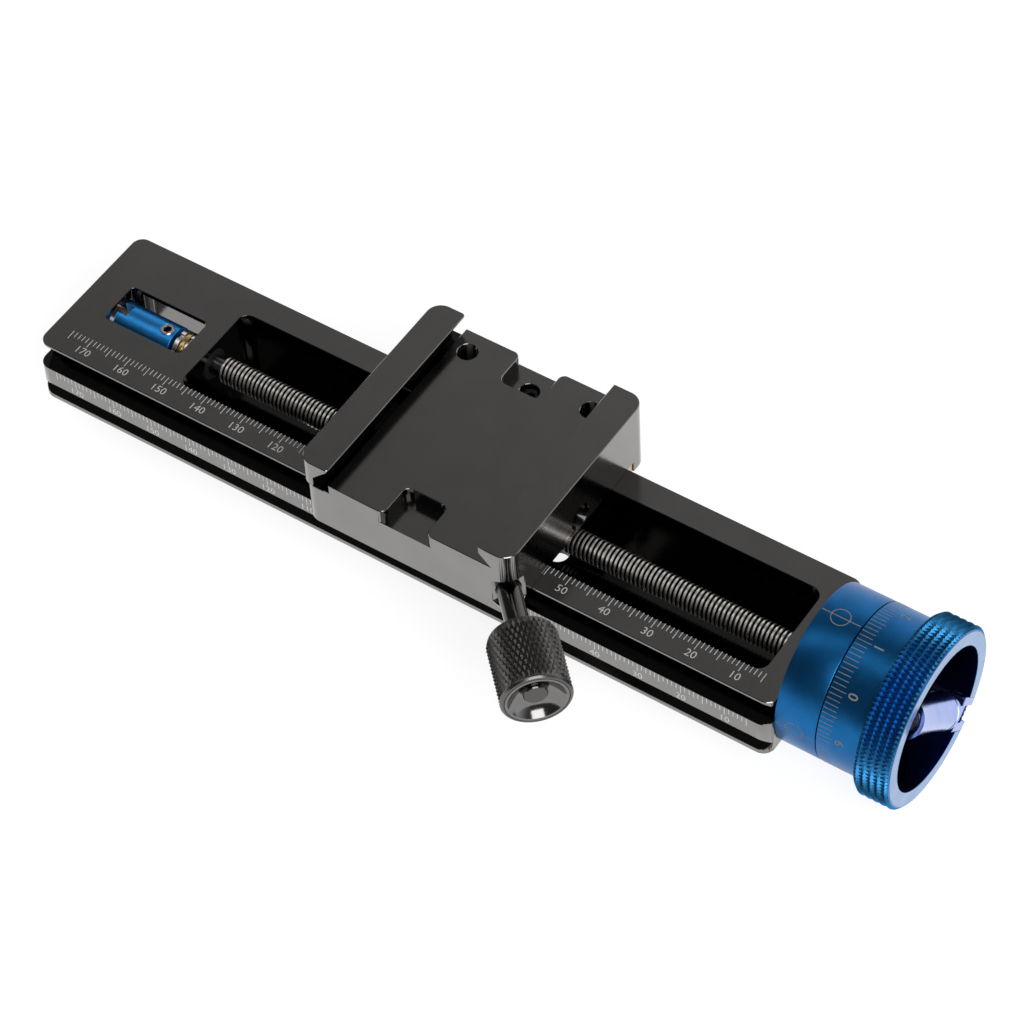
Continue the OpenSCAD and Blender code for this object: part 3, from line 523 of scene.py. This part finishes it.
def collar():
    """The fixed collar, with an index mark on its top and one on its front."""
    bore = 6.5
    ring = turned([(BED_RIGHT, bore), (BED_RIGHT, COLLAR_RADIUS), (COLLAR_END, COLLAR_RADIUS),
                   (COLLAR_END, bore)], 160, along_axis(), broken=0.25)
    piece("collar_ring", ring, BLUE, "base", ["collar"])
    line_start, line_end, circle_at = 90.3, 98.85, 94.45
    circle_inner, circle_outer = 1.88, 2.05
    marks = bmesh.new()
    half = LINE_WIDTH / 2
    for turn in (90, 180):
        arc = math.radians(turn) * COLLAR_RADIUS
        line = bmesh.new()
        box(line, (line_start, arc - half, -MARK_DEPTH), (line_end, arc + half, MARK_PROUD))
        bmesh.ops.subdivide_edges(line, edges=line.edges, cuts=1)
        upright = Matrix.Rotation(-math.pi / 2, 4, "Y")
        spot = Matrix.Translation((circle_at * MM, arc * MM, 0)) @ upright
        circle = turned([(-MARK_DEPTH, circle_inner), (MARK_PROUD, circle_inner),
                         (MARK_PROUD, circle_outer), (-MARK_DEPTH, circle_outer)], 64, spot)
        wrapped(line.verts, COLLAR_RADIUS)
        wrapped(circle.verts, COLLAR_RADIUS)
        marks = joined(marks, line, circle)
    bmesh.ops.recalc_face_normals(marks, faces=marks.faces)
    piece("collar_marks", marks, FILL_BLUE, "base")


# ---- drive


def journal(start, end, radius):
    """A plain round end of the leadscrew."""
    return turned([(start, 0), (start, radius), (end, radius), (end, 0)], 48, along_axis(),
                  broken=0.15)


def leadscrew():
    """The threaded screw: one turn of its helix, repeated along the axis."""
    start, turns, steps = -54.8, 138, 36
    root, flank, shoulder, crest = 2.3, 2.72, 2.86, 2.9
    # Under this radius the thread's roots take the dark steel: painted shade
    painted_shade_under = 2.6
    one_turn = bmesh.new()
    profile = [(0, root), (0.06, root), (0.24, flank), (0.34, shoulder), (0.5, crest),
               (0.66, shoulder), (0.76, flank), (0.94, root), (1, root)]
    line = [one_turn.verts.new(((start + x) * MM, r * MM, 0)) for x, r in profile]
    edges = [one_turn.edges.new(pair) for pair in zip(line, line[1:])]
    bmesh.ops.spin(one_turn, geom=line + edges, cent=(0, 0, 0), axis=(1, 0, 0),
                   dvec=(MM / steps, 0, 0), angle=FULL_TURN, steps=steps, use_merge=False)
    turn = bpy.data.meshes.new("turn")
    one_turn.to_mesh(turn)
    one_turn.free()
    thread = bmesh.new()
    for _ in range(turns):
        thread.from_mesh(turn)
        turn.transform(Matrix.Translation((MM, 0, 0)))
    bpy.data.meshes.remove(turn)
    bmesh.ops.remove_doubles(thread, verts=thread.verts, dist=WELD)
    bmesh.ops.holes_fill(thread, edges=[e for e in thread.edges if e.is_boundary], sides=0)
    bmesh.ops.recalc_face_normals(thread, faces=thread.faces)
    for f in thread.faces:
        centre = f.calc_center_median()
        f.material_index = int(math.hypot(centre.y, centre.z) < painted_shade_under * MM)
    bmesh.ops.transform(thread, matrix=along_axis(), verts=thread.verts)
    rear = journal(-71, start + 0.5, radius=2)
    # The rear journal, in the slot, takes the dark steel too: painted shade
    for f in rear.faces:
        f.material_index = 1
    front = journal(83.6, 103.4, radius=2.5)
    piece("threaded_screw", joined(thread, rear, front), [STEEL_THREAD, STEEL_PAINTED_SHADE], "drive",
          ["leadscrew"])


def cut_away(bm, cutter):
    """The mesh less a closed cutter. Both meshes are used up."""
    made = []
    for name, source in (("shape", bm), ("cutter", cutter)):
        mesh = bpy.data.meshes.new(name)
        source.to_mesh(mesh)
        source.free()
        made.append(bpy.data.objects.new(name, mesh))
        bpy.context.scene.collection.objects.link(made[-1])
    shape, tool = made
    cut = shape.modifiers.new("cut", "BOOLEAN")
    cut.operation = "DIFFERENCE"
    cut.solver = "EXACT"
    cut.object = tool
    bpy.context.view_layer.update()
    solved = shape.evaluated_get(bpy.context.evaluated_depsgraph_get()).to_mesh()
    result = bmesh.new()
    result.from_mesh(solved)
    for one in made:
        bpy.data.meshes.remove(one.data)
    bmesh.ops.remove_doubles(result, verts=result.verts, dist=CUT_WELD)
    return result


def crank_notch():
    """The room in the knob's rim for the crank's bracket, with a gap to the outside."""
    past_end, past_rim = 5, 22
    room_start, room_end, room_floor, room_half = 12, 18.5, -3, 3.7
    gap_start, gap_floor, gap_half = 18, 1.7, 1.85
    notch = bmesh.new()
    box(notch, (room_start, room_floor, -room_half), (room_end, past_end, room_half),
        along_crank())
    gap = bmesh.new()
    box(gap, (gap_start, gap_floor, -gap_half), (past_rim, past_end, gap_half), along_crank())
    for part in (notch, gap):
        bmesh.ops.recalc_face_normals(part, faces=part.faces)
    return notch, gap


def dial_knob():
    """The dial and its knurled rim in one piece, with the notch for the crank's bracket."""
    bore, knurl_bed = 2.5, KNURL_ROOT - 0.1
    rim, cavity, knurl_highlight = 1, 2, 3
    body = turned([(DIAL_START, bore), (DIAL_START, DIAL_RADIUS), (GRIP_START, DIAL_RADIUS),
                   (GRIP_START, knurl_bed), (GRIP_END - 0.3, knurl_bed),
                   (GRIP_END, KNURL_ROOT - 0.4), (GRIP_END, CAVITY_RADIUS),
                   (WEB_FACE, CAVITY_RADIUS), (WEB_FACE, bore)], 2 * KNURL_TEETH, along_axis(),
                  broken=0.1)
    for f in body.faces:
        centre = f.calc_center_median()
        radius = math.hypot(centre.y, centre.z - AXIS_HEIGHT * MM)
        if f.normal.x > 0.9 and centre.x > (GRIP_END - 0.1) * MM:
            f.material_index = rim
        # Faces inside the cup take the darker blue: painted shade
        elif radius < (CAVITY_RADIUS + 0.01) * MM and centre.x > (WEB_FACE - 0.01) * MM:
            f.material_index = cavity
    columns = (GRIP_START + 0.04, 109.55, 111.15, 112.7, 114.25, 115.85, GRIP_END - 0.12)
    knurl = knurled_band(columns, KNURL_CREST, knurl_bed, KNURL_TEETH, along_axis())
    # The knurl takes the brighter blue: painted highlight
    for f in knurl.faces:
        f.material_index = knurl_highlight
    notched = []
    for part in (body, knurl):
        for cutter in crank_notch():
            part = cut_away(part, cutter)
        notched.append(part)
    piece("dial_and_rim", joined(*notched), [BLUE, RIM, BLUE_PAINTED_SHADE, BLUE_KNURL_PAINTED_HIGHLIGHT],
          "drive", ["dial_knob"], smooth_angle=12)


def dial_marks():
    """A hundred divisions with a figure at every tenth."""
    zero_angle, division_angle = 134.6, 3.6
    line_start, short_end, long_end, half = 99.5, 102.35, 102.8, 0.065
    figure_at, figure_height, figure_weight = 104.35, 2.1, 0.008
    marks = bmesh.new()
    for division in range(100):
        arc = math.radians(zero_angle - division_angle * division) * DIAL_RADIUS
        end = long_end if division % 5 == 0 else short_end
        line = box(marks, (line_start, arc - half, -MARK_DEPTH), (end, arc + half, MARK_PROUD))
        wrapped(line, DIAL_RADIUS)
        if division % 10 == 0:
            flat = Matrix(((0, -1, 0, figure_at * MM), (-1, 0, 0, arc * MM),
                           (0, 0, 1, 0), (0, 0, 0, 1)))
            figure = number(marks, str(division // 10), figure_height, flat, figure_weight)
            wrapped(figure, DIAL_RADIUS)
    bmesh.ops.recalc_face_normals(marks, faces=marks.faces)
    piece("dial_marks", marks, FILL_BLUE, "drive")


def coupling_parts():
    """The coupling in the window, its grub screw, and the nut and rings beside it."""
    chamfered_copy("coupling", "coupling_body", "drive", BLUE_COUPLING,
                   chamfer=0.12)
    low, high = (corner / MM for corner in map(Vector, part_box("coupling_screw")))
    screw_x = (low.x + high.x) / 2
    socket_radius = 0.95

    # Faces in the grub screw's socket take the dark steel: painted shade
    def in_socket(at):
        return math.hypot(at.x - screw_x, at.y) < socket_radius and at.z < high.z - 0.05

    chamfered_copy("coupling_screw", "coupling_grub_screw", "drive", [STEEL, STEEL_PAINTED_SHADE],
                   chamfer=0.1, shaded=in_socket)
    chamfered_copy("lock_nut", "slotted_nut", "drive", STEEL, chamfer=0.08)
    chamfered_copy("steel_ring", "steel_spacer", "drive", STEEL, chamfer=0.08)
    low, high = (corner / MM for corner in map(Vector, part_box("brass_ring")))
    bore, radius, rounding = 2.05, (high.y - low.y) / 2, 0.25
    ring = turned([(low.x, bore), (low.x, radius - rounding), (low.x + rounding, radius),
                   (high.x - rounding, radius), (high.x, radius - rounding), (high.x, bore)],
                  96, along_axis(), broken=0.1)
    piece("brass_spacer", ring, BRASS, "drive", ["brass_ring"], smooth_angle=40)


def crank():
    """The hinge, the axle and the waisted spool that turns on it."""
    for node, name, body, material, slot, chamfer in (
            ("crank_bracket", "crank_ears", "drive", LILAC, "pale_anodised", 0.12),
            ("crank_pin", "crank_hinge_pin", "drive", STEEL, "stainless", 0),
            ("crank_link", "crank_tongue", "crank", LILAC, "pale_anodised", 0.1),
            ("axle_screw", "crank_axle_screw", "crank", STEEL, "stainless", 0.1)):
        chamfered_copy(node, name, body, material, chamfer)
    free, root, bore, rings = -13.6, 8.9, 1.65, 24
    waist_at, waist_radius, flare = free + 0.55 * (root - free), 3.75, 2.4
    free_flare, root_flare, ring_step = 0.55, 0.25, 1.4
    outer = []
    for i in range(rings + 1):
        at = free + (root - free) * i / rings
        if at < waist_at:
            share = (waist_at - at) / (waist_at - free)
            outer.append((at, waist_radius + free_flare * share ** flare))
        elif at < root - ring_step:
            share = (at - waist_at) / (root - waist_at)
            outer.append((at, waist_radius + root_flare * share ** flare))
    outer += [(root - 1.3, 3.93), (root - 1.2, 3.7), (root - 1, 3.7), (root - 0.9, 4.0),
              (root, 4.0)]
    recess, recess_radius = free + 2.7, 3.6
    outline = [(recess, bore), (recess, recess_radius), (free, recess_radius), *outer,
               (root, bore)]
    piece("crank_spool", turned(outline, 96, along_crank()), LILAC, "crank_handle",
          ["crank_grip"])


# ---- carriage and clamp


def in_carriage_shade(at):
    """Whether a place on the carriage takes painted shade: in a pocket, a hole or the moving
    jaw's step.
    """
    pocket_levels, inside_x, inside_y = (22.7, 25.95), (-15.4, 34.6), 24.6
    hole_spots, hole_y, hole_radius, hole_top = (-5.2, 9.8, 24.8), 19.48, 2.3, 22.4
    stop_x, stop_height, stop_radius = (20, 34.74), 18.8, 3.1
    in_pocket = within(at.z, pocket_levels) and within(at.x, inside_x) and abs(at.y) < inside_y
    in_hole = at.z < hole_top and any(math.hypot(at.x - x, at.y - hole_y) < hole_radius
                                      for x in hole_spots)
    in_stop_hole = within(at.x, stop_x) and math.hypot(at.y, at.z - stop_height) < stop_radius
    return in_pocket or in_hole or in_stop_hole


def in_jaw_shade(at):
    """Whether a place on the moving jaw faces the clamp's dovetail, and takes painted shade."""
    face_x, jaw_top, inside_y = -13.2, 30.2, 24.5
    return at.x > face_x and at.z < jaw_top and abs(at.y) < inside_y


def carriage():
    """The carriage with its gib, nut and screws, and the jaw with the bar that pulls it."""
    chamfered_copy("carriage_block", "carriage_body", "carriage", [BLACK, BLACK_SHADED],
                   chamfer=0.14, shaded=in_carriage_shade)
    chamfered_copy("gib", "brass_gib", "carriage", BRASS, chamfer=0.1)
    chamfered_copy("moving_jaw", "sliding_jaw", "jaw", [BLACK, BLACK_SHADED],
                   chamfer=0.12, shaded=in_jaw_shade)
    for node, body in (("gib_screws", "carriage"), ("stop_screw", "carriage"),
                       ("jaw_screw", "jaw"), ("draw_bar", "jaw")):
        chamfered_copy(node, node + "_blackened", body, BLACK_OXIDE, chamfer=0.08)
    for node, body in (("nut_screws", "carriage"), ("clamp_cone", "clamp_plunger")):
        chamfered_copy(node, node + "_steel", body, STEEL_SCREW, chamfer=0.08)
    chamfered_copy("feed_nut", "feed_nut_block", "carriage", POLYMER,
                   chamfer=0.2)


def clamp_knob():
    """The clamp's shaft, its knurled knob and the dished cap in the knob's end."""
    chamfered_copy("clamp_screw", "clamp_shaft", "clamp_handle", BLACK_SHAFT,
                   chamfer=0.2)
    knob_outline = [(9.2, 2.5), (9.2, 6.7), (9.75, 6.8), (23.9, 6.8), (23.95, 7.3),
                    (24.25, 7.3), (24.7, 6.95), (24.7, 6.55), (21.9, 6.55), (21.9, 2.5)]
    core = turned(knob_outline, 96, along_clamp(), broken=0.04)
    knurl_start, knurl_end, rows = 9.4, 23.95, 11
    columns = [knurl_start + (knurl_end - knurl_start) * i / rows for i in range(rows + 1)]
    knurl = knurled_band(columns, crest=7.35, root=6.82, teeth=40, place=along_clamp())
    piece("clamp_grip", joined(core, knurl), BLACK_KNURL, "clamp_handle",
          ["clamp_knob"], smooth_angle=15)
    cap_outline = [(21.9, 0), (21.9, 6.4), (24.7, 6.4), (24.7, 5.85), (24.2, 5.42),
                   (23.75, 4.95), (23.35, 4.45), (23, 3.9), (22.72, 3.3), (22.52, 2.65),
                   (22.45, 2.25), (22.6, 2.15), (22.6, 0)]
    cap = turned(cap_outline, 96, along_clamp())
    piece("dished_cap", cap, BLACK_CAP, "clamp_handle", ["knob_cap"],
          smooth_angle=12)


def inner_parts():
    """CAD nodes inside the object, which keep their own mesh."""
    for node, material in (("front_bush", BRASS), ("rear_bush", POLYMER), ("ball_bearing", STEEL),
                           ("collar_screws", STEEL), ("hub_washer", STEEL), ("hub_screw", STEEL)):
        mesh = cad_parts[node].data
        mesh.materials.clear()
        mesh.materials.append(material)


# ---- studio


def white_paper():
    """Floor that takes a soft shadow and looks white to the camera and in polished metal."""
    paper_tone, white_level = 0.4, 0.82
    paper = bpy.data.materials.new("white_paper")
    paper.use_nodes = True
    nodes, links = paper.node_tree.nodes, paper.node_tree.links
    nodes.clear()
    output = nodes.new("ShaderNodeOutputMaterial")
    both = nodes.new("ShaderNodeAddShader")
    shade = nodes.new("ShaderNodeBsdfDiffuse")
    shade.inputs["Color"].default_value = (paper_tone, paper_tone, paper_tone, 1)
    glow = nodes.new("ShaderNodeEmission")
    path = nodes.new("ShaderNodeLightPath")
    seen = nodes.new("ShaderNodeMath")
    seen.operation = "MAXIMUM"
    level = nodes.new("ShaderNodeMath")
    level.operation = "MULTIPLY"
    level.inputs[1].default_value = white_level
    links.new(path.outputs["Is Camera Ray"], seen.inputs[0])
    links.new(path.outputs["Is Glossy Ray"], seen.inputs[1])
    links.new(seen.outputs["Value"], level.inputs[0])
    links.new(level.outputs["Value"], glow.inputs["Strength"])
    links.new(shade.outputs["BSDF"], both.inputs[0])
    links.new(glow.outputs["Emission"], both.inputs[1])
    links.new(both.outputs["Shader"], output.inputs["Surface"])
    return paper


def room():
    """World that is white to the camera, and otherwise bright behind and dim in front."""
    towards_bright = (0.15, 1, -0.9)
    dim, dim_until, bright_from = 0.07, -0.55, 0.7
    world = bpy.data.worlds.new("studio")
    world.use_nodes = True
    nodes, links = world.node_tree.nodes, world.node_tree.links
    background = nodes["Background"]
    coords = nodes.new("ShaderNodeTexCoord")
    slope = nodes.new("ShaderNodeVectorMath")
    slope.operation = "DOT_PRODUCT"
    slope.inputs[1].default_value = towards_bright
    spread = nodes.new("ShaderNodeMapRange")
    spread.interpolation_type = "SMOOTHSTEP"
    spread.inputs["From Min"].default_value = dim_until
    spread.inputs["From Max"].default_value = bright_from
    spread.inputs["To Min"].default_value = dim
    spread.inputs["To Max"].default_value = 1
    path = nodes.new("ShaderNodeLightPath")
    level = nodes.new("ShaderNodeMath")
    level.operation = "MAXIMUM"
    links.new(coords.outputs["Generated"], slope.inputs[0])
    links.new(slope.outputs["Value"], spread.inputs["Value"])
    links.new(spread.outputs["Result"], level.inputs[0])
    links.new(path.outputs["Is Camera Ray"], level.inputs[1])
    links.new(level.outputs["Value"], background.inputs["Strength"])
    background.inputs["Color"].default_value = (1, 1, 1, 1)
    return world


def soft_light(name, direction, distance, size, power):
    """A soft panel that faces the object from a direction."""
    lamp = bpy.data.lights.new(name, "AREA")
    lamp.shape = "RECTANGLE"
    lamp.size, lamp.size_y = size
    lamp.energy = power
    light = bpy.data.objects.new(name, lamp)
    towards = Vector(direction).normalized()
    light.location = towards * distance
    light.rotation_euler = (-towards).to_track_quat("-Z", "Y").to_euler()
    bpy.context.scene.collection.objects.link(light)


def studio():
    floor_level, floor_size = -9.8, 6
    scene = bpy.context.scene
    scene.view_settings.view_transform = "Standard"
    floor_mesh = bpy.data.meshes.new("floor")
    bm = bmesh.new()
    bmesh.ops.create_grid(bm, x_segments=1, y_segments=1, size=floor_size)
    bmesh.ops.translate(bm, vec=(0, 0, floor_level * MM), verts=bm.verts)
    bm.to_mesh(floor_mesh)
    bm.free()
    floor_mesh.materials.append(white_paper())
    floor = bpy.data.objects.new("floor", floor_mesh)
    scene.collection.objects.link(floor)
    scene.world = room()
    soft_light("overhead", direction=(-0.4, -0.12, 0.9), distance=1.5, size=(0.36, 2.2),
               power=3.4)
    soft_light("beside_camera", direction=(0.6, -0.5, 0.62), distance=1.6, size=(1, 1),
               power=15)


def camera():
    """The camera at the photograph's angle, from its place, turn and roll."""
    azimuth, elevation, roll = (math.radians(a) for a in (37.97, 49.096, -4.823))
    place = (0.31483, -0.40095, 0.6207)
    right = Vector((math.cos(azimuth), math.sin(azimuth), 0))
    back = Vector((math.cos(elevation) * math.sin(azimuth),
                   -math.cos(elevation) * math.cos(azimuth), math.sin(elevation)))
    up = back.cross(right)
    across = math.cos(roll) * right + math.sin(roll) * up
    upward = -math.sin(roll) * right + math.cos(roll) * up
    data = bpy.data.cameras.new("camera")
    data.sensor_width = 36
    data.lens = 136.66
    data.shift_x = 0.0699
    data.shift_y = -0.1065
    data.clip_start = 0.01
    view = bpy.data.objects.new("camera", data)
    turn = Matrix((across, upward, back)).transposed().to_4x4()
    view.matrix_world = Matrix.Translation(place) @ turn
    bpy.context.scene.collection.objects.link(view)
    bpy.context.scene.camera = view


bed()
collar()
leadscrew()
dial_knob()
dial_marks()
coupling_parts()
crank()
carriage()
clamp_knob()
inner_parts()
studio()
camera()
